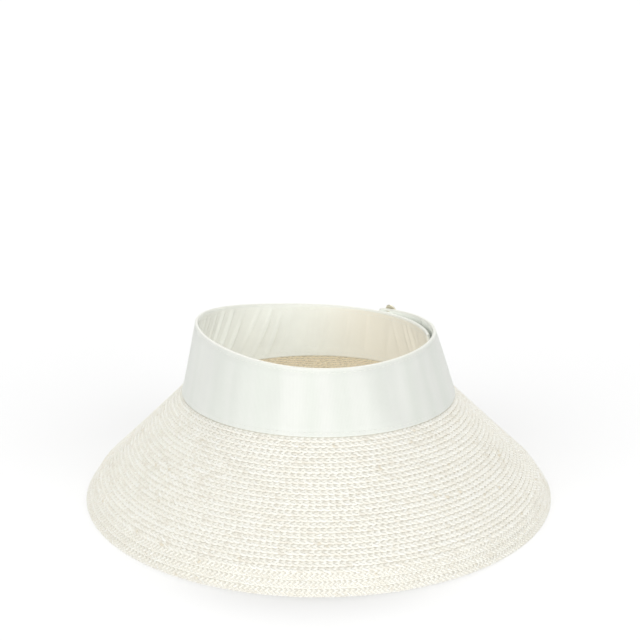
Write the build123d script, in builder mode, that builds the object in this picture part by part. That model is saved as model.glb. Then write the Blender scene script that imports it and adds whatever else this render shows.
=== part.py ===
from build123d import *
from dataclasses import astuple, dataclass
from math import atan2, cos, degrees, radians, sin
import os

# Sun visor in millimetres. The brim edge rests on z = 0, the front of the visor faces -Y,
# +X is the wearer's left side and the origin is under the middle of the brim edge.


@dataclass
class Oval:
    """A level of the visor: an ellipse on a tilted plane."""

    height: float       # of its centre
    shift: float        # of its centre, along X
    pitch: float        # degrees, front raised
    roll: float         # degrees, +X side raised
    half_width: float   # along X
    half_length: float  # along Y
    tuck: float         # how far the inner end of the band has moved in at the +X side


# Driving ovals, all measured on the outer surface
EDGE = Oval(0.0, 0.0, 0.0, 0.0, 154.9, 162.5, 0.0)
BEND = Oval(11.9, 0.0, 0.75, -0.07, 147.6, 156.3, 0.6)
SEAM = Oval(72.2, 0.0, 5.4, -0.5, 90.0, 105.8, 4.3)
RIM = Oval(111.7, -1.8, 7.0, -2.05, 80.2, 93.5, 5.3)
RIM_SIDE_RISE = 6.85      # the sides of the rim stand this much above its front and back
TONGUE_SIDE_RISE = 1.9    # the same for the inner end, which has slipped down a little
TONGUE_ROOM = 0.4         # its top is cut away this far beyond its two faces

# Brim: rows of sewn straw braid down to the bend, then steeper rows of finer braid at the edge
ROW_COUNT = 25
EDGE_ROW_COUNT = 3
ROW_DEPTH = 3.0           # measured level: about 2.2 through the braid
EDGE_ROW_DEPTH = 3.8
BONING_DEPTHS = (1.5, 2.3)
BONING_SHARES = (0.3, 0.7)   # of the last edge row, from the edge
BONING_END_GAP = 1.0      # degrees, from the raw ends of the row

# Headband: cover, stiffener and lining, from the outside in, over two collar rows of braid
COVER = 0.8
CORE = 1.1
LINING = 0.6
LAYER_GAP = 0.05
BAND_THICKNESS = COVER + CORE + LINING + 2 * LAYER_GAP
COLLAR_ROW_COUNT = 2
COLLAR_SHARE = 0.18       # of the band's height
BAND_OVERSHOOT = 1.25     # the layers are made this tall, then cut along the rim

# Closure at the back, on the +X side. Angles are seen from above, from +X towards +Y.
SLIT_ANGLE = 34.0         # slit in the brim, and root of the outer tail
TAIL_TIP_ANGLE = 63.3
TONGUE_END_ANGLE = 3
LAP = 4.0                 # the outer tail passes this far outside the oval at the back
SLIT_HALF_GAP = 0.3       # degrees
BINDING_ANGLE = 0.4       # degrees, thickness of each slit binding
BINDING_PROUD = 0.4
HINGE_HALF_GAP = 0.25     # degrees
TAIL_CLEARANCE = 0.02     # of the band's height, under the tail
TAPE = 0.4
TAPE_SEAM = 0.1          # between the loop tape and the cover
HOOK_ANGLES = (40.0, 59.0)
HOOK_SHARES = (0.15, 0.70)
LOOP_ANGLES = (38.0, 67.0)
LOOP_SHARES = (0.12, 0.73)

# Stud near the tip of the tail
STUD_ANGLE = 55.8
STUD_SHARE = 1.0
STUD_RADIUS = 5.0
STUD_HEIGHT = 1.8
STUD_ROUNDING = 1.0
STUD_CLEARANCE = 0.15
POST_RADIUS = 1.2
WASHER_RADIUS = 3.0
WASHER_THICKNESS = 0.4

CUT_LENGTH = 420.0        # longer than the visor, for the cuts along the rim


def between(low, high, share):
    """The oval at a share of the way from one oval to another."""
    return Oval(*[a + (b - a) * share for a, b in zip(astuple(low), astuple(high))])


def oval_plane(oval):
    across = Vector(cos(radians(oval.roll)), 0, sin(radians(oval.roll)))
    along = Vector(0, cos(radians(oval.pitch)), -sin(radians(oval.pitch)))
    return Plane(origin=(oval.shift, 0, oval.height), x_dir=across, z_dir=across.cross(along))


def turn_at(half_width, half_length, angle):
    """The ellipse's own angle, in degrees, at the point seen from its centre at an angle."""
    return degrees(atan2(half_width * sin(radians(angle)), half_length * cos(radians(angle))))


def oval_point(oval, angle, longer=0.0):
    """The point of the oval that is seen from above at an angle."""
    half_length = oval.half_length + longer
    turn = radians(turn_at(oval.half_width, half_length, angle))
    return oval_plane(oval).from_local_coords(
        Vector(oval.half_width * cos(turn), half_length * sin(turn), 0)
    )


def arc_between(half_width, half_length, start, end):
    """The arc of an ellipse about the plane's origin, from one angle to another."""
    first = turn_at(half_width, half_length, start)
    size = turn_at(half_width, half_length, end) - first
    return EllipticalCenterArc((0, 0), half_width, half_length, first, arc_size=size)


def wrapped_face(oval, depths, left_end, right_end, lap):
    """A layer's section at one level. It starts at its inner end on the left of the closure,
    in the tucked quarter, goes once round the head, and ends on the right, lapped outside."""
    starts = []
    ends = []
    with BuildSketch(oval_plane(oval)) as section:
        with BuildLine():
            for depth in depths:
                half_width = oval.half_width - depth
                half_length = oval.half_length - depth
                starts.append(arc_between(half_width - oval.tuck, half_length, left_end, 90) @ 0)
                EllipticalCenterArc((0, 0), half_width, half_length, 90, arc_size=270)
                ends.append(arc_between(half_width, half_length + lap, 0, right_end) @ 1)
            Line(*starts)
            Line(*ends)
        make_face()
    return section.sketch


def wrapped(low, high, depths, left_end, right_end, lap=0.0):
    """A layer that goes once round the head between two levels and two depths."""
    with BuildPart() as layer:
        loft([wrapped_face(level, depths, left_end, right_end, lap) for level in (low, high)], ruled=True)
    return layer.part


def flap_face(oval, depths, start, end, narrower, longer):
    """The section of a short layer between two angles."""
    with BuildSketch(oval_plane(oval)) as section:
        with BuildLine():
            sides = [
                arc_between(oval.half_width - narrower - depth, oval.half_length + longer - depth, start, end)
                for depth in depths
            ]
            Line(*[side @ 0 for side in sides])
            Line(*[side @ 1 for side in sides])
        make_face()
    return section.sketch


def flap(levels, depths, start, end, tucked=False, lap=0.0):
    """A short layer, on the tucked quarter of the ovals or on the plain or lapped one."""
    sections = [
        flap_face(level, depths, start, end, level.tuck if tucked else 0.0, lap) for level in levels
    ]
    with BuildPart() as layer:
        loft(sections, ruled=True)
    return layer.part


def above_rim(side_rise):
    """The space above the rim: a wide cylinder along the rim's own Y axis."""
    radius = (RIM.half_width**2 + side_rise**2) / (2 * side_rise)
    rim = oval_plane(RIM)
    axis_plane = Plane(origin=rim.origin + rim.z_dir * radius, x_dir=rim.x_dir, z_dir=rim.y_dir)
    with BuildPart(axis_plane) as space:
        Cylinder(radius, CUT_LENGTH)
    return space.part


def save(part, name):
    part.label = name
    export_step(part, f"parts/{name}.step")


os.makedirs("parts", exist_ok=True)
RIM_CUT = above_rim(RIM_SIDE_RISE)
BAND_TOP = between(SEAM, RIM, BAND_OVERSHOOT)
SLOPE = (EDGE, BEND, SEAM)
SLIT_ENDS = (SLIT_ANGLE + SLIT_HALF_GAP + BINDING_ANGLE, SLIT_ANGLE - SLIT_HALF_GAP - BINDING_ANGLE)
COVER_DEPTHS = (0.0, COVER)
CORE_DEPTHS = (COVER + LAYER_GAP, COVER + LAYER_GAP + CORE)
LINING_DEPTHS = (BAND_THICKNESS - LINING, BAND_THICKNESS)

# Brim rows, numbered outwards from the headband
for row in range(ROW_COUNT):
    upper = between(SEAM, BEND, row / ROW_COUNT)
    lower = between(SEAM, BEND, (row + 1) / ROW_COUNT)
    with BuildPart() as brim_row:
        add(wrapped(lower, upper, (0.0, ROW_DEPTH), *SLIT_ENDS))
    save(brim_row.part, f"brim_row_{row + 1:02d}")

# Edge rows, with flat boning in a channel inside the last one
boning_upper, boning_lower = [
    between(EDGE, BEND, share / EDGE_ROW_COUNT) for share in reversed(BONING_SHARES)
]
boning_ends = (SLIT_ENDS[0] + BONING_END_GAP, SLIT_ENDS[1] - BONING_END_GAP)
with BuildPart() as edge_boning:
    add(wrapped(boning_lower, boning_upper, BONING_DEPTHS, *boning_ends))
save(edge_boning.part, "edge_boning")

for row in range(EDGE_ROW_COUNT):
    upper = between(BEND, EDGE, row / EDGE_ROW_COUNT)
    lower = between(BEND, EDGE, (row + 1) / EDGE_ROW_COUNT)
    with BuildPart() as edge_row:
        add(wrapped(lower, upper, (0.0, EDGE_ROW_DEPTH), *SLIT_ENDS))
        if row == EDGE_ROW_COUNT - 1:
            add(edge_boning.part, mode=Mode.SUBTRACT)
    save(edge_row.part, f"edge_row_{row + 1}")

# Bindings over the two raw ends of the rows
binding_depths = (-BINDING_PROUD, EDGE_ROW_DEPTH + BINDING_PROUD)
with BuildPart() as slit_binding_left:
    add(flap(SLOPE, binding_depths, SLIT_ANGLE + SLIT_HALF_GAP, SLIT_ENDS[0], tucked=True))
save(slit_binding_left.part, "slit_binding_left")
with BuildPart() as slit_binding_right:
    add(flap(SLOPE, binding_depths, SLIT_ENDS[1], SLIT_ANGLE - SLIT_HALF_GAP))
save(slit_binding_right.part, "slit_binding_right")

# Collar rows, which stand up inside the headband and carry it
for row in range(COLLAR_ROW_COUNT):
    lower = between(SEAM, RIM, COLLAR_SHARE * row / COLLAR_ROW_COUNT)
    upper = between(SEAM, RIM, COLLAR_SHARE * (row + 1) / COLLAR_ROW_COUNT)
    with BuildPart() as collar_row:
        add(wrapped(lower, upper, CORE_DEPTHS, *SLIT_ENDS, LAP))
    save(collar_row.part, f"collar_row_{row + 1}")

# Headband layers, from the hidden inner end round the head to the root of the tail.
# The inner end stands lower than the rest: its top is cut away inside the tucked quarter.
tongue_room = (-TONGUE_ROOM, TONGUE_ROOM + BAND_THICKNESS)
with BuildPart() as above_tongue:
    add(flap((SEAM, BAND_TOP), tongue_room, TONGUE_END_ANGLE / 2, 90, tucked=True))
    add(above_rim(TONGUE_SIDE_RISE), mode=Mode.INTERSECT)
for name, bottom, depths in (
    ("headband_cover", SEAM, COVER_DEPTHS),
    ("headband_stiffener", between(SEAM, RIM, COLLAR_SHARE), CORE_DEPTHS),
    ("headband_lining", SEAM, LINING_DEPTHS),
):
    with BuildPart() as headband_layer:
        add(wrapped(bottom, BAND_TOP, depths, TONGUE_END_ANGLE, SLIT_ANGLE - HINGE_HALF_GAP, LAP))
        add(RIM_CUT, mode=Mode.SUBTRACT)
        add(above_tongue.part, mode=Mode.SUBTRACT)
    save(headband_layer.part, name)

# Stud: a domed cap outside, a post through the tail and a washer inside
stud_level = between(SEAM, RIM, STUD_SHARE)
stud_centre = oval_point(stud_level, STUD_ANGLE, LAP)
stud_tangent = oval_point(stud_level, STUD_ANGLE + 1, LAP) - oval_point(stud_level, STUD_ANGLE - 1, LAP)
stud_upward = oval_point(RIM, STUD_ANGLE, LAP) - oval_point(SEAM, STUD_ANGLE, LAP)
stud_plane = Plane(origin=stud_centre, x_dir=stud_tangent, z_dir=stud_tangent.cross(stud_upward))
stud_axis = Axis(stud_centre, stud_plane.z_dir)
washer_plane = stud_plane.offset(-BAND_THICKNESS - STUD_CLEARANCE)
with BuildPart(stud_plane.offset(STUD_CLEARANCE)) as stud_cap:
    Cylinder(STUD_RADIUS, STUD_HEIGHT, align=(Align.CENTER, Align.CENTER, Align.MIN))
    fillet(stud_cap.edges().sort_by(stud_axis)[-1], STUD_ROUNDING)
save(stud_cap.part, "stud_cap")
with BuildPart(washer_plane) as stud_post:
    post_length = BAND_THICKNESS + 2 * STUD_CLEARANCE
    Cylinder(POST_RADIUS, post_length, align=(Align.CENTER, Align.CENTER, Align.MIN))
save(stud_post.part, "stud_post")
with BuildPart(washer_plane) as stud_washer:
    Cylinder(WASHER_RADIUS, WASHER_THICKNESS, align=(Align.CENTER, Align.CENTER, Align.MAX))
save(stud_washer.part, "stud_washer")

# Tail: the free outer end of the headband, layer by layer
tail_bottom = between(SEAM, RIM, TAIL_CLEARANCE)
for name, depths in (
    ("tail_cover", COVER_DEPTHS),
    ("tail_stiffener", CORE_DEPTHS),
    ("tail_lining", LINING_DEPTHS),
):
    with BuildPart() as tail_layer:
        add(flap((tail_bottom, BAND_TOP), depths, SLIT_ANGLE + HINGE_HALF_GAP, TAIL_TIP_ANGLE, lap=LAP))
        add(RIM_CUT, mode=Mode.SUBTRACT)
        add(stud_post.part, mode=Mode.SUBTRACT)
    save(tail_layer.part, name)

# Hook tape inside the tail, and loop tape outside the band under it
hook_bottom, hook_top = [between(SEAM, RIM, share) for share in HOOK_SHARES]
hook_depths = (BAND_THICKNESS, BAND_THICKNESS + TAPE)
with BuildPart() as hook_tape:
    add(flap((hook_bottom, hook_top), hook_depths, *HOOK_ANGLES, lap=LAP))
save(hook_tape.part, "hook_tape")
loop_bottom, loop_top = [between(SEAM, RIM, share) for share in LOOP_SHARES]
loop_depths = (-TAPE - TAPE_SEAM, -TAPE_SEAM)
with BuildPart() as loop_tape:
    add(flap((loop_bottom, loop_top), loop_depths, *LOOP_ANGLES, tucked=True))
save(loop_tape.part, "loop_tape")
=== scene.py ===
from math import atan2, cos, pi, radians, sin

import bpy
import numpy as np
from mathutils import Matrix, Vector


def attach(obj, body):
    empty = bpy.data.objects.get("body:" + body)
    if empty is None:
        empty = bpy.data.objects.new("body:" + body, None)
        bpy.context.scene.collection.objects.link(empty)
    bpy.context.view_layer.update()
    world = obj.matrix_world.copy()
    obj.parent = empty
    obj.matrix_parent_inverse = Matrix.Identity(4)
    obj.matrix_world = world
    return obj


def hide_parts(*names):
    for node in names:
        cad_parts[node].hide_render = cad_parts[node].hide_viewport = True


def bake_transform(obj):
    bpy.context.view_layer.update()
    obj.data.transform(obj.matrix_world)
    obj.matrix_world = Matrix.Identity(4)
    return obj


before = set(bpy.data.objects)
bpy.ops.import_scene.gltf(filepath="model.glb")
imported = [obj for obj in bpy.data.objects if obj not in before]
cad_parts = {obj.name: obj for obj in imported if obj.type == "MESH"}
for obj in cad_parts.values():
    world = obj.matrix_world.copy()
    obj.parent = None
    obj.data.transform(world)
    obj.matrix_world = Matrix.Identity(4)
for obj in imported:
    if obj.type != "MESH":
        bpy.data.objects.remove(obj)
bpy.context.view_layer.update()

MM = 0.001
RNG = np.random.default_rng(20)

# ---------------------------------------------------------------- sizes, in mm and degrees
# Ovals: height, shift, pitch, roll, half width, half length, and how far the inner end is tucked in.
EDGE = np.array([0.0, 0.0, 0.0, 0.0, 154.9, 162.5, 0.0])
BEND = np.array([11.9, 0.0, 0.75, -0.07, 147.6, 156.3, 0.6])
SEAM = np.array([72.2, 0.0, 5.4, -0.5, 90.0, 105.8, 4.3])
RIM = np.array([111.7, -1.8, 7.0, -2.05, 80.2, 93.5, 5.3])
RIM_SIDE_RISE = 6.85
TONGUE_SIDE_RISE = 1.9
LAP = 4.0

# Closure, at angles seen from above
SLIT_ANGLE = 34.0
SLIT_GAP = 0.3             # from the slit's middle to its bindings
BINDING_ANGLE = 0.4        # from a binding's face at the slit to the ends of the rows
TONGUE_END_ANGLE = 3.0     # end of the headband's inner end
TAIL_ROOT_ANGLE = 28.0     # seam where the tail's cloth joins the band's
TAIL_TIP_ANGLE = 63.3
TAIL_BEND_ANGLES = (29.0, 39.0)
TAIL_CORNER = 7.0          # radius of the corners at the tail's tip
TAIL_LIFT = 1.0            # how far the tail's bottom edge is lifted off the brim
TAIL_LIFT_ANGLES = (31.0, 38.0)
STUD_ANGLE = 55.8
STUD_GAP = 0.1             # from the tail's face to the stud's cap
STUD_BUMP = 1.35           # of the tail's lining, over the stud's back
STUD_BUMP_RADIUS = 4.0
HOOK_ANGLES = (40.0, 59.0)
LOOP_ANGLES = (38.0, 67.0)
HOOK_SHARES = (0.16, 0.68)  # of the band's height
LOOP_SHARES = (0.13, 0.71)
HOOK_DEPTH = 0.42          # past the tail's thickness, over its lining
TAPE_MARGIN = 1.0          # from a tape's edges to its hooks or loops
TAPE_BASE = 0.35           # thickness of a tape's woven ground
# Hooks and loops: how far apart, how far round each goes in half turns, its size and its thread's
HOOKS = dict(pitch=1.25, curl=1.25, radius=0.24, thread=0.10)
LOOPS = dict(pitch=1.05, curl=1.0, radius=0.30, thread=0.055)

# Stud: radius and height of its cap and washer
CAP_PROFILE = ((4.3, 0.02), (4.8, 0.10), (5.0, 0.38), (4.93, 0.75), (4.7, 1.05),
               (4.35, 1.25), (3.95, 1.34), (3.6, 1.30), (3.3, 1.24), (3.0, 1.30),
               (2.6, 1.45), (2.0, 1.62), (1.3, 1.74), (0.6, 1.79), (0.02, 1.8))
WASHER_PROFILE = ((1.5, 0.0), (1.7, 0.15), (1.6, 0.35), (1.3, 0.42), (1.0, 0.4), (0.02, 0.4))

# Braid. Swing is in half rows, lift and period in mm, strand is its half width and half thickness,
# and tilt lifts a row's lower side over its upper one, in mm for each half row.
ROW_COUNT = 25
ROW = dict(strands=3, swing=0.70, lift=0.30, period=12.6, strand=(0.86, 0.42), tilt=0.46)
EDGE_ROW_COUNT = 3
EDGE_ROW = dict(strands=5, swing=0.84, lift=0.36, period=16.5, strand=(0.62, 0.40), tilt=0.22)
STRAND_STEP = 1.05         # between points along a row
ROW_DEPTH = 1.0
EDGE_ROW_DEPTHS = (1.0, 2.75)
BACKING = 0.2              # half thickness of the strip behind a plait
WARM_CHANCE = 0.07         # of a warm length of strand at each knot of its colour
TAN_CHANCE = 0.012

# Bindings of the slit, round the ends of the rows
BINDING_TOP = 0.55         # height over the brim's surface
BINDING_BOTTOM = -2.5
BINDING_EDGE_DROP = 1.5    # how much lower it goes at the brim's thicker edge
BINDING_REACH = 4.2
BINDING_CORNER = 0.5
BINDING_MIDDLE = 2.2       # where its faces are crowned
BINDING_CROWN = 0.06

# Headband
BAND_THICKNESS = 2.2
TAIL_THICKNESS = 1.8
BAND_DROP = 0.3            # how far the cover reaches below the seam
LINING_DROP = 3.8          # how far the lining does
LINING_THICKNESS = 0.35
CLOTH = 0.6
FOLD = 3.5                 # how far the cover's edges are turned in
TOP_STITCH = 3.0           # from the cover's top edge to its line of stitches
BOTTOM_STITCH = 2.6
STITCH_PRESS = 0.32        # how far the cloth is pressed in along its stitches
# painted highlight: the paler edge over the top fold
TOP_HIGHLIGHT = 1.5             # height of the paler edge over the top fold
COLLAR_SHARE = 0.18        # height of the collar rows, as a share of the band's
HALF_HEIGHT_STEPS = 2000   # fine divisions of a line before it is divided evenly
BRIM_STEPS = 4000
STITCH_STEPS = 6000
SWELLS = ((0.45, 5, 0.6), (0.34, 11, 2.1), (0.22, 19, 4.0), (0.09, 37, 1.0))  # size, count, start
SWELLS_START = 1.2         # radians of the oval's turn
SWELLS_END = 2 * pi + 0.2
LINING_CREASES = ((34.0, 0.9), (37.5, -0.9), (39.5, 1.3), (44.0, 0.8), (52.0, 0.6))  # angle, size
CREASE_WIDTH = 0.016       # radians of the oval's turn
LINING_STITCH_COLUMN = 4   # column of the lining's points with stitches, from its bottom and top
# painted bounce light: the lining is tinted warmer, for warm light thrown from the straw
BOUNCE_TINT_END = 1.85            # turn up to which the lining is warmer, in radians, and how softly it ends
BOUNCE_TINT_FADE = 0.9
SHEET_END_GAP = 0.8        # from a layer's end that isn't free to the cover's
PINCH_LENGTH = 2.4         # along a layer, at its free end
PINCH_FADE = 1.6
PINCH_DEPTH = CLOTH + 0.25
LAYER_GAP = 0.05
LINING_THREAD = 0.4        # from the lining's outer face in to its thread

# Stitches: length, gap and radius of the thread
BAND_STITCH = (2.3, 1.1, 0.24)
LINING_STITCH = (2.2, 1.0, 0.17)
BINDING_STITCH = (2.4, 1.1, 0.2)
BINDING_STITCH_PLACE = 3.1  # from the slit

CAMERA_TILT = 19.78        # below level
CAMERA_DISTANCE = 1.700    # metres
CAMERA_TARGET = (0.00085, 0.0, 0.12134)
CAMERA_LENS = 146.61
FLOOR_HALF = 7.0           # metres

# ---------------------------------------------------------------- colours
STRAW_PALE = (0.86, 0.86, 0.815)
STRAW = (0.825, 0.812, 0.742)
STRAW_WARM = (0.76, 0.735, 0.66)
STRAW_TAN = (0.72, 0.665, 0.54)
# painted warm shade: tan for the brim's shaded underside
STRAW_SHADED_UNDERSIDE = (0.93, 0.83, 0.63)
BAND = (0.735, 0.75, 0.71)
# painted highlight on the band's top fold and turned-in cloth
BAND_FOLD_HIGHLIGHT = (0.84, 0.845, 0.785)
LINING = (0.865, 0.885, 0.83)
# painted warm bounce light from the straw on the lining
LINING_BOUNCE_TINT = (0.865, 0.83, 0.725)
INTERLINING = (0.74, 0.74, 0.70)
BINDING = (0.80, 0.785, 0.71)
TAPE = (0.82, 0.82, 0.79)
BONING = (0.80, 0.80, 0.78)
STUD = (0.78, 0.735, 0.60)
FLOOR = 0.845
FLOOR_TONES = (0.84, 0.85)


# ---------------------------------------------------------------- shape of the visor
def between(low, high, share):
    share = np.asarray(share, float)[..., None]
    return low + (high - low) * share


def oval_points(levels, turns, lap=0.0):
    """Points on ovals. Turns under a quarter are on the tucked quarter, over a whole on the lapped one."""
    turns = np.asarray(turns, float)
    tuck = np.where(turns < pi / 2, levels[..., 6], 0.0)
    longer = np.where(turns > 2 * pi, lap, 0.0)
    x = (levels[..., 4] - tuck) * np.cos(turns)
    y = (levels[..., 5] + longer) * np.sin(turns)
    pitch, roll = np.radians(levels[..., 2]), np.radians(levels[..., 3])
    height = levels[..., 0] + x * np.sin(roll) - y * np.sin(pitch)
    return np.stack([levels[..., 1] + x * np.cos(roll), y * np.cos(pitch), height], axis=-1)


def turn_of(level, angle, tucked=False, lap=0.0):
    """The ellipse's own angle where it is seen from above at an angle in degrees."""
    half_width = level[4] - (level[6] if tucked else 0.0)
    return atan2(half_width * sin(radians(angle)), (level[5] + lap) * cos(radians(angle)))


def brim_level(share):
    """Ovals down the brim: 0 at the seam, 1 at the bend and 2 at the edge."""
    share = np.asarray(share, float)
    return np.where((share < 1)[..., None], between(SEAM, BEND, share), between(BEND, EDGE, share - 1))


def unit(vectors):
    return vectors / np.linalg.norm(vectors, axis=-1, keepdims=True)


def smooth(x):
    x = np.clip(x, 0, 1)
    return x * x * (3 - 2 * x)


def side_rise(turns):
    """The inner end has slipped down, so its top edge rises less towards the side."""
    return np.where(np.asarray(turns) < pi / 2, TONGUE_SIDE_RISE, RIM_SIDE_RISE)


def band_points(turns, shares, depth):
    """Points on the headband. shares are 0 at the seam and 1 at the top edge, depth is inwards."""
    turns, shares, depth = np.broadcast_arrays(turns, shares, depth)
    shares = shares * (1 + side_rise(turns) * np.cos(turns) ** 2 / (RIM[0] - SEAM[0]))
    levels = between(SEAM, RIM, shares)
    points = oval_points(levels, turns, LAP)
    along = oval_points(levels, turns + 0.004, LAP) - oval_points(levels, turns - 0.004, LAP)
    up = oval_points(between(SEAM, RIM, shares + 0.01), turns, LAP) - points
    return points - unit(np.cross(along, up)) * depth[..., None]


def band_heights(turns):
    return np.linalg.norm(band_points(turns, 1.0, 0.0) - band_points(turns, 0.0, 0.0), axis=-1)


MIDDLE = between(SEAM, RIM, 0.5)
TONGUE_END = turn_of(MIDDLE, TONGUE_END_ANGLE, tucked=True)


def lapped_turn(angle):
    return 2 * pi + turn_of(MIDDLE, angle, lap=LAP)


def even_turns(first, last, spacing, ends):
    """Turns at even distances half way up the band, with closer ones near the ends, and the distances."""
    turns = np.linspace(first, last, HALF_HEIGHT_STEPS)
    points = band_points(turns, 0.5, 0.0)
    length = np.concatenate([[0], np.cumsum(np.linalg.norm(np.diff(points, axis=0), axis=1))])
    even = np.linspace(0, length[-1], int(length[-1] / spacing) + 1)
    close = np.array(ends)
    distance = np.unique(np.concatenate([even, close, length[-1] - close]).round(4))
    return np.interp(distance, length, turns), distance


# ---------------------------------------------------------------- meshes
def grid_faces(rings, around, start):
    """Quads between rings of points, with start as the first point's number."""
    ring = np.arange(rings - 1)[:, None]
    step = np.arange(around)[None, :]
    following = (step + 1) % around
    corners = (ring * around + step, ring * around + following,
               (ring + 1) * around + following, (ring + 1) * around + step)
    return np.stack(np.broadcast_arrays(*corners), axis=-1).reshape(-1, 4) + start


def grid_uvs(lengths, girths):
    """Coordinates in mm for the corners of a grid's faces: from ring to ring, and round each."""
    u0, v0 = np.meshgrid(lengths[:-1], girths[:-1], indexing="ij")
    u1, v1 = np.meshgrid(lengths[1:], girths[1:], indexing="ij")
    corners = [np.stack(pair, -1) for pair in ((u0, v0), (u0, v1), (u1, v1), (u1, v0))]
    return np.stack(corners, axis=-2).reshape(-1, 2)


class Build:
    """Collects grids of points, in mm, and makes one mesh object of them."""

    def __init__(self):
        self.points, self.quads, self.uvs = [], [], []
        self.tints, self.insides, self.count = [], [], 0

    def grid(self, points, lengths, girths, tint=0.6, inside=0.0):
        """A closed tube through rings of points. Materials read tint and inside from the points."""
        rings, around = points.shape[:2]
        first = self.count
        self.count += rings * around
        self.points.append(points.reshape(-1, 3))
        self.tints.append(np.broadcast_to(tint, (rings, around)).reshape(-1))
        self.insides.append(np.broadcast_to(inside, (rings, around)).reshape(-1))
        self.quads.append(grid_faces(rings, around, first))
        self.uvs.append(grid_uvs(lengths, girths))
        self.cap(np.arange(first, first + around)[::-1])
        self.cap(np.arange(self.count - around, self.count))

    def cap(self, ring):
        """Closes a ring of an even number of points with quads across it."""
        half = len(ring) // 2
        left, right = ring[:half], ring[::-1][:half]
        quads = np.stack([left[:-1], left[1:], right[1:], right[:-1]], axis=1)
        self.quads.append(quads)
        self.uvs.append(np.zeros((quads.size, 2)))

    def finish(self, name, material, body, replaces, slot):
        """Makes the object, with nothing below the floor. A piece that bends gets no body here."""
        points, quads = np.concatenate(self.points) * MM, np.concatenate(self.quads)
        points[:, 2] = np.maximum(points[:, 2], 0)
        mesh = bpy.data.meshes.new(name)
        mesh.vertices.add(len(points))
        mesh.vertices.foreach_set("co", points.astype(np.float32).ravel())
        mesh.loops.add(quads.size)
        mesh.loops.foreach_set("vertex_index", quads.ravel().astype(np.int32))
        mesh.polygons.add(len(quads))
        mesh.polygons.foreach_set("loop_start", np.arange(0, quads.size, 4, dtype=np.int32))
        mesh.polygons.foreach_set("use_smooth", np.ones(len(quads), bool))
        layer = mesh.uv_layers.new(name="mm")
        layer.data.foreach_set("uv", np.concatenate(self.uvs).astype(np.float32).ravel())
        for attribute, values in (("tint", self.tints), ("inside", self.insides)):
            made = mesh.attributes.new(attribute, "FLOAT", "POINT")
            made.data.foreach_set("value", np.concatenate(values).astype(np.float32))
        mesh.update(calc_edges=True)
        mesh.validate()
        mesh.materials.append(material)
        piece = bpy.data.objects.new(name, mesh)
        bpy.context.scene.collection.objects.link(piece)
        if body:
            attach(piece, body)
        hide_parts(*replaces)
        return piece


def girths_of(ring):
    """Distances round a closed ring of points, from its first point and back to it."""
    steps = np.linalg.norm(np.diff(np.concatenate([ring, ring[:1]]), axis=0), axis=1)
    return np.concatenate([[0], np.cumsum(steps)])


# ---------------------------------------------------------------- materials
def new_material(name, colour, roughness, specular=0.3, sheen=0.0):
    material = bpy.data.materials.new(name)
    material.use_nodes = True
    tree = material.node_tree
    shader = tree.nodes["Principled BSDF"]
    shader.inputs["Base Color"].default_value = (*colour, 1)
    shader.inputs["Roughness"].default_value = roughness
    shader.inputs["Specular IOR Level"].default_value = specular
    shader.inputs["Sheen Weight"].default_value = sheen
    shader.inputs["Sheen Roughness"].default_value = 0.4
    return material, tree, shader


def add_node(tree, kind, inputs=(), **settings):
    made = tree.nodes.new(kind)
    for name, value in settings.items():
        setattr(made, name, value)
    for name, value in dict(inputs).items():
        if isinstance(value, bpy.types.NodeSocket):
            tree.links.new(value, made.inputs[name])
        else:
            made.inputs[name].default_value = value
    return made


def ramp(tree, source, *stops):
    made = add_node(tree, "ShaderNodeValToRGB", {"Fac": source})
    elements = made.color_ramp.elements
    while len(elements) < len(stops):
        elements.new(0.5)
    for element, (position, colour) in zip(elements, stops):
        element.position = position
        element.color = (*colour, 1)
    return made.outputs["Color"]


def mix(tree, how, factor, first, second):
    made = add_node(tree, "ShaderNodeMix", data_type="RGBA", blend_type=how)
    for index, value in ((0, factor), (6, first), (7, second)):
        if isinstance(value, bpy.types.NodeSocket):
            tree.links.new(value, made.inputs[index])
        else:
            made.inputs[index].default_value = value
    return made.outputs[2]


def math(tree, how, first, second):
    return add_node(tree, "ShaderNodeMath", {0: first, 1: second}, operation=how).outputs[0]


def coordinates(tree, scale=None):
    uv = add_node(tree, "ShaderNodeUVMap", uv_map="mm").outputs["UV"]
    if scale is None:
        return uv
    return add_node(tree, "ShaderNodeMapping", {"Vector": uv, "Scale": scale}).outputs["Vector"]


def place(tree):
    return add_node(tree, "ShaderNodeTexCoord").outputs["Object"]


def straw_material():
    """Paper straw: pale strands with a warm length now and then, and painted warm shade: tan on the inside of
    the brim, which lies in shade.
    """
    material, tree, shader = new_material("straw_braid", STRAW, 0.6)
    tint = add_node(tree, "ShaderNodeAttribute", attribute_name="tint").outputs["Fac"]
    inside = add_node(tree, "ShaderNodeAttribute", attribute_name="inside").outputs["Fac"]
    colour = ramp(tree, tint, (0.0, STRAW_TAN), (0.15, STRAW_WARM), (0.5, STRAW), (1.0, STRAW_PALE))
    # painted warm shade: the marked inner side of the straw is tinted tan
    colour = mix(tree, "MIX", inside, colour, (*STRAW_SHADED_UNDERSIDE, 1))
    fibres = add_node(tree, "ShaderNodeTexNoise", {
        "Vector": coordinates(tree, (0.35, 4.5, 1.0)), "Scale": 1.0, "Detail": 4.0,
        "Roughness": 0.6}).outputs["Fac"]
    shade = ramp(tree, fibres, (0.3, (0.90, 0.885, 0.86)), (0.62, (1.0, 1.0, 1.0)))
    tree.links.new(mix(tree, "MULTIPLY", 1.0, colour, shade), shader.inputs["Base Color"])
    bump = add_node(tree, "ShaderNodeBump", {"Height": fibres, "Strength": 0.5, "Distance": 0.00025})
    tree.links.new(bump.outputs["Normal"], shader.inputs["Normal"])
    return material


WAVE_PERIOD = 0.314        # of a wave texture at a scale of 1


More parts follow.
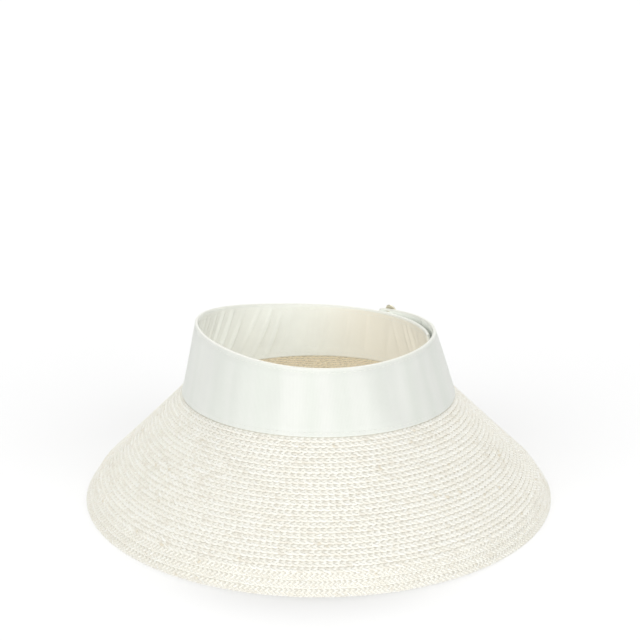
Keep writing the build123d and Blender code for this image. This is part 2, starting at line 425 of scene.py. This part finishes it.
def cloth_material(name, colour, pitches, strength, roughness, sheen, uneven,
                   shading_bands=0.0, edge=None, warm=None):
    """Woven cloth: rounded threads both ways, in mm on the piece's own coordinates, and an uneven tone.
    It can have faint upright streaks of painted shade, a paler colour on turned edges that is a painted
    highlight, and a warmer stretch that is painted bounce light from the straw."""
    material, tree, shader = new_material(name, colour, roughness, 0.25, sheen)
    slub = add_node(tree, "ShaderNodeTexNoise", {
        "Vector": coordinates(tree, (0.12, 1.6, 1.0)), "Scale": 1.0, "Detail": 3.0}).outputs["Fac"]
    threads = []
    for direction, pitch in zip("XY", pitches):
        wave = add_node(tree, "ShaderNodeTexWave", {
            "Vector": coordinates(tree), "Scale": WAVE_PERIOD / pitch, "Distortion": 0.8,
            "Detail": 1.0, "Detail Scale": 1.2}, bands_direction=direction)
        threads.append(wave.outputs["Fac"])
    height = math(tree, "ADD", math(tree, "ADD", *threads), slub)
    bump = add_node(tree, "ShaderNodeBump", {"Height": height, "Strength": strength, "Distance": 0.0001})
    tree.links.new(bump.outputs["Normal"], shader.inputs["Normal"])
    tone = add_node(tree, "ShaderNodeTexNoise", {
        "Vector": place(tree), "Scale": 38.0, "Detail": 3.0}).outputs["Fac"]
    darker = tuple(c * (1 - uneven) for c in colour)
    base = ramp(tree, tone, (0.35, darker), (0.65, colour))
    # painted shade: faint upright bands of darker tone stand in for the shading of the band's soft swells
    if shading_bands:
        upright = add_node(tree, "ShaderNodeTexNoise", {
            "Vector": coordinates(tree, (0.055, 0.004, 1.0)), "Scale": 1.0, "Detail": 2.0}).outputs["Fac"]
        band_shade = (1 - shading_bands, 1 - shading_bands * 0.7, 1 - shading_bands)
        shaded_bands = ramp(tree, upright, (0.38, band_shade), (0.6, (1.0, 1.0, 1.0)))
        base = mix(tree, "MULTIPLY", 1.0, base, shaded_bands)
    # painted bounce light: a warmer colour on the marked stretch stands in for warm light thrown from the
    # straw
    if warm:
        bounce_tint = add_node(tree, "ShaderNodeAttribute", attribute_name="inside").outputs["Fac"]
        base = mix(tree, "MIX", bounce_tint, base, (*warm, 1))
    # painted highlight: the turned edges of the cloth get the paler edge colour
    if edge:
        highlight_mask = add_node(tree, "ShaderNodeAttribute", attribute_name="tint").outputs["Fac"]
        base = mix(tree, "MIX", highlight_mask, base, (*edge, 1))
    crossings = math(tree, "MULTIPLY", *threads)
    weave = ramp(tree, crossings, (0.0, (0.95, 0.95, 0.945)), (0.5, (1.0, 1.0, 1.0)))
    tree.links.new(mix(tree, "MULTIPLY", 1.0, base, weave), shader.inputs["Base Color"])
    return material


def grained_material(name, colour, roughness, scale, metallic=0.0):
    """Metal or plastic with a fine grain and faint blotches."""
    material, tree, shader = new_material(name, colour, roughness, 0.5)
    shader.inputs["Metallic"].default_value = metallic
    grain = add_node(tree, "ShaderNodeTexNoise", {
        "Vector": place(tree), "Scale": scale, "Detail": 4.0}).outputs["Fac"]
    darker = tuple(c * 0.88 for c in colour)
    tree.links.new(ramp(tree, grain, (0.3, darker), (0.7, colour)), shader.inputs["Base Color"])
    bump = add_node(tree, "ShaderNodeBump", {"Height": grain, "Strength": 0.15, "Distance": 0.0001})
    tree.links.new(bump.outputs["Normal"], shader.inputs["Normal"])
    return material


# ---------------------------------------------------------------- brim
def brim_line(share, spacing):
    """A line round the brim, evenly divided: its points, the directions along it, down the slope
    and out of the surface, the slope's length per share, and the distance along the line."""
    level = brim_level(share)
    first = turn_of(level, SLIT_ANGLE + SLIT_GAP + BINDING_ANGLE, tucked=True)
    last = 2 * pi + turn_of(level, SLIT_ANGLE - SLIT_GAP - BINDING_ANGLE)
    turns = np.linspace(first, last, BRIM_STEPS)
    points = oval_points(level, turns)
    length = np.concatenate([[0], np.cumsum(np.linalg.norm(np.diff(points, axis=0), axis=1))])
    distance = np.linspace(0, length[-1], int(round(length[-1] / spacing)) + 1)
    turns = np.interp(distance, length, turns)
    points = oval_points(level, turns)
    along = unit(np.gradient(points, axis=0))
    step = 0.004
    down = oval_points(brim_level(share + step), turns) - oval_points(brim_level(share - step), turns)
    slope = np.linalg.norm(down, axis=1) / (2 * step)
    down = unit(down - np.sum(down * along, axis=1, keepdims=True) * along)
    return points, along, down, np.cross(down, along), slope, distance


def wander(distance, spacing, size):
    """A smooth random course along a line."""
    knots = int(distance[-1] / spacing) + 3
    return np.interp(distance, np.linspace(0, distance[-1], knots), RNG.normal(0, size, knots))


def strand_tints(distance, spacing):
    """Mostly pale straw, with a warmer length here and there."""
    knots = int(distance[-1] / spacing) + 3
    tints = RNG.uniform(0.4, 1.0, knots)
    tints[RNG.random(knots) < WARM_CHANCE] = 0.2
    tints[RNG.random(knots) < TAN_CHANCE] = 0.0
    return np.interp(distance, np.linspace(0, distance[-1], knots), tints)


def plait(build, line, half_width, depth, strands, swing, lift, period, strand, tilt, sides=6):
    """A flat plait of strands along a line, each passing over and under the others."""
    points, along, down, out, _, distance = line
    around = np.linspace(0, 2 * pi, sides, endpoint=False)
    girths = np.linspace(0, pi * (strand[0] + strand[1]), sides + 1)
    # painted warm shade: the strand's inner side is marked for the tan underside colour
    inside = smooth(-0.1 - 1.2 * np.sin(around))
    start = RNG.uniform(0, 2 * pi)
    drift = wander(distance, 25, 0.35)
    for number in range(strands):
        phase = 2 * pi * distance / period + start + drift + 2 * pi * number / strands
        side = swing * np.sin(phase)
        rise = lift * np.sin((strands - 1) * phase) + tilt * side - depth + wander(distance, 3, 0.05)
        sideways = side * half_width + wander(distance, 3, 0.07)
        centre = points + down * sideways[:, None] + out * rise[:, None]
        forward = unit(np.gradient(centre, axis=0))
        across = unit(np.cross(out, forward))
        up = np.cross(forward, across)
        width = strand[0] * (1 + wander(distance, 4, 0.08))
        ring = (centre[:, None] + across[:, None] * (np.cos(around) * width[:, None])[..., None]
                + up[:, None] * (np.sin(around) * strand[1])[None, :, None])
        build.grid(ring, distance, girths, tint=strand_tints(distance, period / 2)[:, None], inside=inside)


def backing(build, line, half_width, depth):
    """A thin strip in the middle of a plait, which closes the small gaps between its strands. Its darker tint
    is painted shade in those gaps.
    """
    points, _, down, out, _, distance = (part[::3] for part in line)
    half_width = half_width[::3, None]
    outline = [(side, BACKING) for side in (-1, 0, 1)] + [(side, -BACKING) for side in (1, 0, -1)]
    ring = np.stack([points + down * side * half_width + out * (rise - depth)
                     for side, rise in outline], axis=1)
    # painted shade: the strip's low tint darkens the gaps, and its back face gets the tan underside colour
    inside = np.array([0, 0, 0, 1, 1, 1])
    build.grid(ring, distance, girths_of(ring[0]), tint=0.2, inside=inside)


def make_brim(straw):
    for row in range(ROW_COUNT):
        line = brim_line((row + 0.5) / ROW_COUNT, STRAND_STEP)
        half_width = line[4] / ROW_COUNT / 2
        build = Build()
        plait(build, line, half_width, ROW_DEPTH, **ROW)
        backing(build, line, half_width * 1.1, ROW_DEPTH)
        build.finish(f"brim_braid_{row + 1:02d}", straw, "visor", [f"brim_row_{row + 1:02d}"], "straw_braid")
    for row in range(EDGE_ROW_COUNT):
        line = brim_line(1 + (row + 0.5) / EDGE_ROW_COUNT, STRAND_STEP)
        half_width = line[4] / EDGE_ROW_COUNT / 2
        build = Build()
        for depth in EDGE_ROW_DEPTHS:
            plait(build, line, half_width, depth, **EDGE_ROW)
            backing(build, line, half_width * 1.05, depth)
        build.finish(f"edge_braid_{row + 1}", straw, "visor", [f"edge_row_{row + 1}"], "straw_braid")


def stitch(build, points, radius):
    """One stitch of thread over a short line of points, thinner where it goes into the cloth."""
    leaning_up = np.array([0.13, 0.21, 0.97])
    forward = unit(np.gradient(points, axis=0))
    across = unit(np.cross(forward, leaning_up))
    up = np.cross(forward, across)
    around = np.linspace(0, 2 * pi, 6, endpoint=False)
    sizes = radius * np.sin(np.linspace(0.25, pi - 0.25, len(points)))
    ring = (points[:, None] + across[:, None] * (np.cos(around) * sizes[:, None])[..., None]
            + up[:, None] * (np.sin(around) * sizes[:, None])[..., None])
    distance = np.concatenate([[0], np.cumsum(np.linalg.norm(np.diff(points, axis=0), axis=1))])
    build.grid(ring, distance, np.linspace(0, 2 * pi * radius, 7))


def stitches(build, line, length, gap, radius):
    """A row of stitches along a dense line of points that lies at the thread's own height."""
    distance = np.concatenate([[0], np.cumsum(np.linalg.norm(np.diff(line, axis=0), axis=1))])
    margin = place_along = 1.0
    while place_along + length < distance[-1] - margin:
        at = np.linspace(place_along, place_along + length, 6)
        stitch(build, np.stack([np.interp(at, distance, line[:, axis]) for axis in range(3)], axis=1), radius)
        place_along += length + gap


def binding_outline(bottom):
    """A binding's section: distances from the slit along the rows, and out of the brim's surface."""
    insets = [(BINDING_CORNER * (1 - sin(a)), BINDING_CORNER * (1 - cos(a)))
              for a in np.linspace(0, pi / 2, 4)]
    half_way = (BINDING_TOP + bottom) / 2
    outline = [(BINDING_REACH - x, BINDING_TOP - y) for x, y in insets[::-1]]
    outline += [(BINDING_MIDDLE, BINDING_TOP + BINDING_CROWN)]
    outline += [(x, BINDING_TOP - y) for x, y in insets]
    outline += [(-0.02, half_way)]
    outline += [(x, bottom + y) for x, y in insets[::-1]]
    outline += [(BINDING_MIDDLE, bottom - BINDING_CROWN)]
    outline += [(BINDING_REACH - x, bottom + y) for x, y in insets]
    return outline + [(BINDING_REACH, half_way)]


def make_bindings(tape):
    """Tape folded over the raw ends of the rows, on each side of the slit."""
    shares = np.concatenate([np.linspace(0, 1, 70), np.linspace(1, 2, 16)[1:]])
    for name, side, tucked in (("left", 1, True), ("right", -1, False)):
        rings, threads = [], []
        for share in shares:
            level = brim_level(share)
            turn = turn_of(level, SLIT_ANGLE + side * SLIT_GAP, tucked=tucked)
            here = oval_points(level, turn)
            along = unit(oval_points(level, turn + side * 0.002) - here)
            lower, upper = (oval_points(brim_level(share + step), turn) for step in (0.01, -0.01))
            down = unit(lower - upper)
            out = unit(np.cross(down, along)) * side
            bottom = BINDING_BOTTOM - BINDING_EDGE_DROP * smooth(share - 0.9)
            rings.append([here + along * a + out * o for a, o in binding_outline(bottom)])
            threads.append(here + along * BINDING_STITCH_PLACE + out * (BINDING_TOP + 0.05))
        rings = np.array(rings)
        if side < 0:
            rings = rings[:, ::-1]
        distance = girths_of(rings[:, 0])[:-1]
        build = Build()
        build.grid(rings, distance, girths_of(rings[0]))
        stitches(build, np.array(threads), *BINDING_STITCH)
        build.finish(f"slit_tape_{name}", tape, "visor", [f"slit_binding_{name}"], "binding_tape")


# ---------------------------------------------------------------- headband
def thickness_at(turns):
    """The tail is thinner than the rest of the band, from just past its root."""
    root, hinge = lapped_turn(TAIL_ROOT_ANGLE), lapped_turn(SLIT_ANGLE)
    return BAND_THICKNESS + (TAIL_THICKNESS - BAND_THICKNESS) * smooth((turns - root) / (hinge - root))


def bulge(turns, share):
    """Soft upright swells of the stiffened band, largest half way up and none at the closure."""
    swell = sum(size * np.sin(count * turns + start) for size, count, start in SWELLS)
    free = smooth((turns - SWELLS_START) / 0.5) * smooth((SWELLS_END - turns) / 0.4)
    return swell * free * np.sin(pi * np.clip(share, 0, 1)) ** 0.7


def corner_inset(to_tip, radius):
    """How far a rounded corner cuts into the tail's height at a distance from its tip."""
    beyond = np.clip(radius - to_tip, 0, radius)
    return radius - np.sqrt(radius**2 - beyond**2)


def fold_outline(low, high, thick):
    """The band cloth's closed outline: up the inside of the bottom fold, round under, up the outside,
    over the top and down inside it, and back along the cloth's other face. Height and depth, in mm."""
    arc = np.linspace(0, pi, 9)
    face = np.linspace(0, 1, 24)

    def path(inset):
        radius = thick / 2 - inset
        bottom, top = low + thick / 2, high - thick / 2
        points = [(bottom + FOLD * s, thick - inset) for s in (1.0, 0.5)]
        points += [(bottom - radius * sin(a), thick / 2 + radius * cos(a)) for a in arc]
        points += [(bottom + (top - bottom) * s, inset) for s in face[1:-1]]
        points += [(top + radius * sin(a), thick / 2 - radius * cos(a)) for a in arc]
        return points + [(top - FOLD * s, thick - inset) for s in (0.5, 1.0)]

    return np.array(path(0.0) + path(CLOTH)[::-1])


def press(heights, low, high):
    """The cloth is pressed in a little along its two lines of stitches."""
    lines = (np.exp(-((heights - (high - TOP_STITCH)) / 0.5) ** 2)
             + np.exp(-((heights - (low + BOTTOM_STITCH)) / 0.5) ** 2))
    return STITCH_PRESS * lines


def ends_squeeze(distance, end, radius=1.2):
    """Rounds off both ends of a strip: 0 at an end, 1 away from it."""
    near = np.clip(np.minimum(distance, end - distance) / radius, 0, 1)
    return np.sqrt(np.clip(1 - (1 - near) ** 2, 0.02, 1))


def strip_limits(turns, distance, is_tail):
    """The lowest and highest heights of the band along it: the tail has rounded corners and hangs clear."""
    heights = band_heights(turns)
    if not is_tail:
        return np.full(len(turns), -BAND_DROP), heights, heights
    inset = corner_inset(distance[-1] - distance, TAIL_CORNER)
    start, end = (lapped_turn(angle) for angle in TAIL_LIFT_ANGLES)
    lift = TAIL_LIFT * smooth((turns - start) / (end - start))
    return lift + inset, heights - inset, heights


# Distances of a piece's closer rings from its ends
END_STEPS = (0.08, 0.3, 0.65, 1.0, 1.5)
TIP_STEPS = (0.08, 0.25, 0.5, 0.8, 1.2, 1.8, 2.5, 3.3, 4.2, 5.1, 6.0, 7.0)


def make_cover(name, node_name, body, first, last, cloth, is_tail):
    turns, distance = even_turns(first, last, 1.1, TIP_STEPS if is_tail else END_STEPS)
    lows, highs, heights = strip_limits(turns, distance, is_tail)
    thick = thickness_at(turns)
    squeeze = ends_squeeze(distance, distance[-1])
    rings, highlight_mask = [], []
    for turn, low, high, height, size, flat in zip(turns, lows, highs, heights, thick, squeeze):
        up, depth = fold_outline(low, high, size).T
        depth = depth + np.where(depth < size / 2, press(up, low, high), 0)
        # painted highlight: the top fold and the turned-in cloth are marked for the paler edge colour
        highlight_mask.append(np.maximum(smooth((up - high + TOP_HIGHLIGHT) / 1.2), smooth((depth - size / 2) / 0.5)))
        depth = size / 2 + (depth - size / 2) * flat - bulge(turn, up / height)
        rings.append(band_points(turn, up / height, depth))
    rings = np.array(rings)
    build = Build()
    build.grid(rings, distance, girths_of(rings[len(rings) // 2]), tint=np.array(highlight_mask))
    fine = np.linspace(first, last, STITCH_STEPS)
    fine_low, fine_high, fine_height = strip_limits(fine, np.interp(fine, turns, distance), is_tail)
    clear_of_ends = slice(60, -200) if is_tail else slice(40, -40)
    for up in (fine_high - TOP_STITCH, fine_low + BOTTOM_STITCH):
        line = band_points(fine, up / fine_height, 0.2 - bulge(fine, up / fine_height))
        stitches(build, line[clear_of_ends], *BAND_STITCH)
    piece = build.finish(name, cloth, body, [node_name], "band_cloth")
    turned = 2 * (FOLD + pi * BAND_THICKNESS / 4)
    return piece, (float(np.mean(highs - lows) + turned) * MM, float(distance[-1]) * MM)


def make_sheet(first, last, is_tail, margins, depth_of, thin, free_inset, spacing=1.3):
    """A closed, thin layer inside the band, between margins above its bottom and below its top. Returns
    it with its rings' turns and band heights, its points' depths and heights, and its flat size."""
    turns, distance = even_turns(first, last, spacing, TIP_STEPS if is_tail else END_STEPS)
    to_free_end = distance[-1] - distance if is_tail else distance
    keep = (to_free_end > free_inset) & (to_free_end < distance[-1] - SHEET_END_GAP)
    lows, highs, heights = (part[keep] for part in strip_limits(turns, distance, is_tail))
    turns, distance, to_free_end = turns[keep], distance[keep], to_free_end[keep]
    share = np.linspace(0, 1, 44)
    up = (lows + margins[0])[:, None] + (highs - lows - margins[0] - margins[1])[:, None] * share
    depth = depth_of(turns[:, None], share[None, :], up)
    pinch = smooth((PINCH_LENGTH - to_free_end) / PINCH_FADE)[:, None]
    depth = depth + (PINCH_DEPTH - depth) * pinch - bulge(turns[:, None], up / heights[:, None])
    rounded = 0.02
    edge = np.sqrt(np.clip(1 - (1 - np.minimum(share, 1 - share) / rounded) ** 2, 0.05, 1))
    edge[(share > rounded) & (share < 1 - rounded)] = 1
    outer = band_points(turns[:, None], up / heights[:, None], depth + thin / 2 - thin / 2 * edge)
    inner = band_points(turns[:, None], up / heights[:, None], depth + thin / 2 + thin / 2 * edge)
    rings = np.concatenate([outer, inner[:, ::-1]], axis=1)
    # painted bounce light: the lining turns warmer towards its tongue end
    bounce_tint = smooth((BOUNCE_TINT_END - turns) / BOUNCE_TINT_FADE)
    build = Build()
    build.grid(rings, distance, girths_of(rings[len(rings) // 2]), inside=bounce_tint[:, None])
    flat = (float(np.mean(up[:, -1] - up[:, 0])) * MM, float(distance[-1] - distance[0]) * MM)
    return build, turns, heights, depth, up, flat


def crease(turns, centre, width):
    return np.exp(-((turns - centre) / width) ** 2)


def lining_depth(turns, share, up):
    """The loose lining: leaning puckers on the left of the back, a few upright creases on the right
    of it, slack swells elsewhere, and a turned hem along the bottom. Depths, in mm."""
    lean = turns + 0.17 * share
    middle = np.sin(pi * share) ** 0.6    # no creases at the sewn edges
    puckers = (np.maximum(0, np.sin(53 * lean + 1.6 * np.sin(7 * turns))) ** 3
               * (0.7 + 0.5 * np.sin(13 * turns + 1.0)))
    left = crease(turns, 2.45, 0.62)
    elsewhere = np.maximum(0, np.sin(23 * lean + 2.2 * np.sin(5 * turns))) ** 3
    folds = sum(size * crease(turns + 0.02 * share, turn_of(MIDDLE, angle, tucked=True), CREASE_WIDTH)
                for angle, size in LINING_CREASES)
    slack = (0.25 * (1 + np.sin(9 * turns + 2.0 * share)) + 2.1 * puckers * left
             + 0.7 * elsewhere * (1 - left))
    hem = 0.22 * (1 - smooth((up - 4.0) / 0.5))
    return BAND_THICKNESS + 0.1 + (slack + np.maximum(folds, -0.1)) * middle + hem


def tail_lining_depth(turns, share, up):
    """The tail's lining lies flat, apart from a bump over the back of the stud."""
    turn, stud_share = stud_place()
    middle = band_points(turn, stud_share, 0.0)
    away = np.linalg.norm(band_points(turns, up / band_heights(turns), 0.0) - middle, axis=-1)
    return thickness_at(turns) + LAYER_GAP + STUD_BUMP * smooth((STUD_BUMP_RADIUS - away) / 2.0)


def interlining_depth(turns, share, up):
    """The stiffener lies flat inside the cover's cloth."""
    return np.full_like(up, CLOTH + LAYER_GAP)


def make_linings(cotton, felt):
    """Linings and stiffeners of the band and the tail: each piece, if it is the tail's, and its flat size."""
    root, tip = lapped_turn(TAIL_ROOT_ANGLE), lapped_turn(TAIL_TIP_ANGLE)
    made = []
    for name, node_name, is_tail, bottom, depth_of in (
        ("headband_lining_cloth", "headband_lining", False, -LINING_DROP, lining_depth),
        ("tail_lining_cloth", "tail_lining", True, 0.4, tail_lining_depth),
    ):
        ends = (root, tip) if is_tail else (TONGUE_END, root)
        build, turns, heights, depth, up, flat = make_sheet(
            *ends, is_tail, (bottom, 0.8), depth_of, LINING_THICKNESS, 0.5)
        for column in (LINING_STITCH_COLUMN, -LINING_STITCH_COLUMN):
            line = band_points(turns, up[:, column] / heights, depth[:, column] + LINING_THREAD)
            stitches(build, line, *LINING_STITCH)
        piece = build.finish(name, cotton, None if is_tail else "visor", [node_name], "lining_cloth")
        made.append((piece, is_tail, flat))
    over_collar = COLLAR_SHARE * (RIM[0] - SEAM[0]) + 0.6
    for name, node_name, is_tail, bottom, thin in (
        ("headband_interlining", "headband_stiffener", False, over_collar, 0.9),
        ("tail_interlining", "tail_stiffener", True, 2.5, 0.5),
    ):
        ends = (root, tip) if is_tail else (TONGUE_END, root)
        build, *_, flat = make_sheet(*ends, is_tail, (bottom, 1.6), interlining_depth, thin, 3.0, 3.0)
        piece = build.finish(name, felt, None if is_tail else "visor", [node_name], "interlining")
        made.append((piece, is_tail, flat))
    return made


def bend_tail(piece):
    """Bakes the piece's placement into its points. The bend of the tail's cloth over its root, where it
    crosses the joint, is not made here.
    """
    points = [band_points(lapped_turn(angle), 0.5, 1.0) * MM for angle in TAIL_BEND_ANGLES]
    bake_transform(piece)


# ---------------------------------------------------------------- closure
def tape_frame(turns, share, depth, outward):
    """A grid of places on the band with directions along it, up it and off its face."""
    here = band_points(turns, share, depth)
    along = unit(band_points(turns + 0.003, share, depth) - band_points(turns - 0.003, share, depth))
    off = unit(band_points(turns, share, depth - 1.0) - here) * (1 if outward else -1)
    return here, along, unit(np.cross(off, along)), off


def make_tape(name, node_name, body, material, angles, tucked, shares, depth, outward, kind):
    """A strip of hook or loop tape: its woven ground, and its hooks or loops in offset rows. Returns
    the piece and its flat size. Loops lean and stand unevenly."""
    first, last = (turn_of(MIDDLE, angle, tucked=True) if tucked else lapped_turn(angle)
                   for angle in angles)
    turns = np.linspace(first, last, 40)
    heights = band_heights(turns)
    thin = TAPE_BASE * (-1 if outward else 1)
    build = Build()
    across = np.linspace(*shares, 16)
    faces = [band_points(turns[:, None], across[None, :], depth + extra) for extra in (0.0, thin)]
    rings = np.concatenate([faces[0], faces[1][:, ::-1]], axis=1)
    if outward:
        rings = rings[:, ::-1]
    length = np.linalg.norm(np.diff(rings[:, 0], axis=0), axis=1).sum()
    build.grid(rings, np.linspace(0, length, len(turns)), girths_of(rings[0]))
    height = float(heights.mean() * (shares[1] - shares[0]))
    uneven = kind is LOOPS
    pitch, radius = kind["pitch"], kind["radius"]
    rows, columns = (int((size - 2 * TAPE_MARGIN) / pitch) for size in (height, length))
    arc = np.linspace(0, pi * kind["curl"], 6)
    for row in range(rows):
        for column in range(columns):
            shift = 0.5 * (row % 2) + (RNG.uniform(-0.3, 0.3) if uneven else 0.0)
            turn = first + (last - first) * (TAPE_MARGIN + (column + shift) * pitch) / length
            share = shares[0] + (shares[1] - shares[0]) * (TAPE_MARGIN + (row + 0.3) * pitch) / height
            here, along, up, off = tape_frame(turn, share, depth + thin, outward)
            swing = RNG.uniform(-1.2, 1.2) if uneven else 0.0
            lie = along * cos(swing) + up * sin(swing)
            tall = radius * RNG.uniform(0.6, 1.3) if uneven else radius
            curve = [here + lie * radius * -cos(a) + off * (tall * sin(a) + 0.06) for a in arc]
            stitch(build, np.array(curve), kind["thread"] * 1.4)
    piece = build.finish(name, material, body, [node_name], node_name)
    return piece, (height * MM, float(length) * MM)


def stud_place():
    """The stud's turn, and its share of the band's height there."""
    turn = lapped_turn(STUD_ANGLE)
    return turn, 1 / (1 + RIM_SIDE_RISE * cos(turn) ** 2 / (RIM[0] - SEAM[0]))


def make_stud(metal):
    """A turned, slightly dished cap near the tip of the tail, and its post and washer."""
    turn, share = stud_place()
    here, along, up, off = tape_frame(turn, share, 0.0, True)
    around = np.linspace(0, 2 * pi, 64, endpoint=False)
    rings = np.array([[here + off * (height + STUD_GAP) + radius * (along * cos(a) + up * sin(a))
                       for a in around]
                      for radius, height in CAP_PROFILE])
    build = Build()
    build.grid(rings, np.linspace(0, 8, len(rings)), np.linspace(0, 31, 65))
    build.finish("stud_dome", metal, "tail", ["stud_cap"], "stud_metal")
    around = np.linspace(0, 2 * pi, 32, endpoint=False)
    rings = np.array([[here - off * (TAIL_THICKNESS + LAYER_GAP + height)
                       + radius * (along * cos(a) - up * sin(a)) for a in around]
                      for radius, height in WASHER_PROFILE])
    build = Build()
    build.grid(rings, np.linspace(0, 4, len(rings)), np.linspace(0, 15, 33))
    build.finish("stud_back", metal, "tail", ["stud_washer"], "stud_metal")
    set_material("stud_post", metal)


def set_material(node_name, material):
    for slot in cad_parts[node_name].material_slots:
        slot.material = material


# ---------------------------------------------------------------- stage, light and camera
def make_stage():
    material, tree, shader = new_material("floor", (FLOOR,) * 3, 0.9, 0.1)
    grain = add_node(tree, "ShaderNodeTexNoise", {"Vector": place(tree), "Scale": 3.0}).outputs["Fac"]
    darker, lighter = ((tone,) * 3 for tone in FLOOR_TONES)
    tree.links.new(ramp(tree, grain, (0.0, darker), (1.0, lighter)), shader.inputs["Base Color"])
    mesh = bpy.data.meshes.new("floor")
    corners = [(x * FLOOR_HALF, y * FLOOR_HALF, 0) for x, y in ((-1, -1), (1, -1), (1, 1), (-1, 1))]
    mesh.from_pydata(corners, [], [(0, 1, 2, 3)])
    mesh.materials.append(material)
    floor = bpy.data.objects.new("floor", mesh)
    bpy.context.scene.collection.objects.link(floor)


WORLD_STRENGTH = 0.44
# Name, direction that the light travels in, strength, how wide it looks in degrees, and if it casts a shadow.
# The fill stands for light that the table throws up into the visor.
LAMPS = (
    ("key_left", (0.66, 0.70, -0.50), 1.14, 50, True),
    ("key_right", (-0.66, 0.70, -0.50), 1.12, 50, True),
    ("back", (0.0, -0.62, -0.78), 1.10, 20, True),
    ("back_left", (0.42, -0.52, -0.74), 0.34, 20, True),
    ("back_right", (-0.42, -0.52, -0.74), 0.34, 20, True),
    ("fill", (0.0, 0.87, 0.50), 1.25, 60, False),
)


def make_lights():
    world = bpy.data.worlds.new("studio")
    world.use_nodes = True
    background = world.node_tree.nodes["Background"]
    background.inputs["Color"].default_value = (1.0, 1.0, 1.0, 1)
    background.inputs["Strength"].default_value = WORLD_STRENGTH
    bpy.context.scene.world = world
    for name, travel, strength, width, shadow in LAMPS:
        lamp = bpy.data.lights.new(name, "SUN")
        lamp.energy = strength
        lamp.angle = radians(width)
        lamp.use_shadow = shadow
        item = bpy.data.objects.new(name, lamp)
        item.rotation_euler = Vector(travel).to_track_quat("-Z", "Y").to_euler()
        bpy.context.scene.collection.objects.link(item)
    bpy.context.scene.view_settings.view_transform = "Standard"


def make_camera():
    data = bpy.data.cameras.new("camera")
    data.lens = CAMERA_LENS
    data.sensor_width = 36.0
    data.clip_end = 50.0
    item = bpy.data.objects.new("camera", data)
    tilt = radians(CAMERA_TILT)
    item.location = Vector(CAMERA_TARGET) + Vector((0, -cos(tilt), sin(tilt))) * CAMERA_DISTANCE
    item.rotation_euler = (pi / 2 - tilt, 0, 0)
    bpy.context.scene.collection.objects.link(item)
    bpy.context.scene.camera = item


# ---------------------------------------------------------------- the visor
make_camera()
make_stage()
make_lights()

straw = straw_material()
band_cloth = cloth_material("band_cloth", BAND, (0.9, 0.42), 0.45, 0.5, 0.2, 0.02,
                            shading_bands=0.05, edge=BAND_FOLD_HIGHLIGHT)
cotton = cloth_material("lining_cloth", LINING, (0.5, 0.5), 0.4, 0.85, 0.05, 0.04, warm=LINING_BOUNCE_TINT)
felt = cloth_material("interlining", INTERLINING, (0.8, 0.8), 0.5, 0.9, 0.1, 0.08)
woven_tape = cloth_material("binding_tape", BINDING, (0.7, 0.5), 0.6, 0.75, 0.1, 0.04)
hook_plastic = grained_material("hook_tape", TAPE, 0.45, 700.0)
loop_fibre = cloth_material("loop_tape", TAPE, (0.6, 0.6), 0.8, 0.9, 0.3, 0.05)
boning_plastic = grained_material("boning", BONING, 0.4, 250.0)
brass = grained_material("stud_metal", STUD, 0.36, 900.0, metallic=1.0)

make_brim(straw)
make_bindings(woven_tape)
set_material("collar_row_1", straw)
set_material("collar_row_2", straw)
set_material("edge_boning", boning_plastic)

tail_root, tail_tip = lapped_turn(TAIL_ROOT_ANGLE), lapped_turn(TAIL_TIP_ANGLE)
band, band_flat = make_cover("headband_cloth", "headband_cover", "visor", TONGUE_END, tail_root,
                             band_cloth, False)
tail, tail_flat = make_cover("tail_cloth", "tail_cover", None, tail_root, tail_tip, band_cloth, True)
bend_tail(tail)
for piece, is_tail, flat in make_linings(cotton, felt):
    if is_tail:
        bend_tail(piece)

hook_piece, hook_flat = make_tape("hook_strip", "hook_tape", "tail", hook_plastic, HOOK_ANGLES, False,
                                  HOOK_SHARES, TAIL_THICKNESS + HOOK_DEPTH, False, HOOKS)
loop_piece, loop_flat = make_tape("loop_strip", "loop_tape", "visor", loop_fibre, LOOP_ANGLES, True,
                                  LOOP_SHARES, 0.0, True, LOOPS)
make_stud(brass)
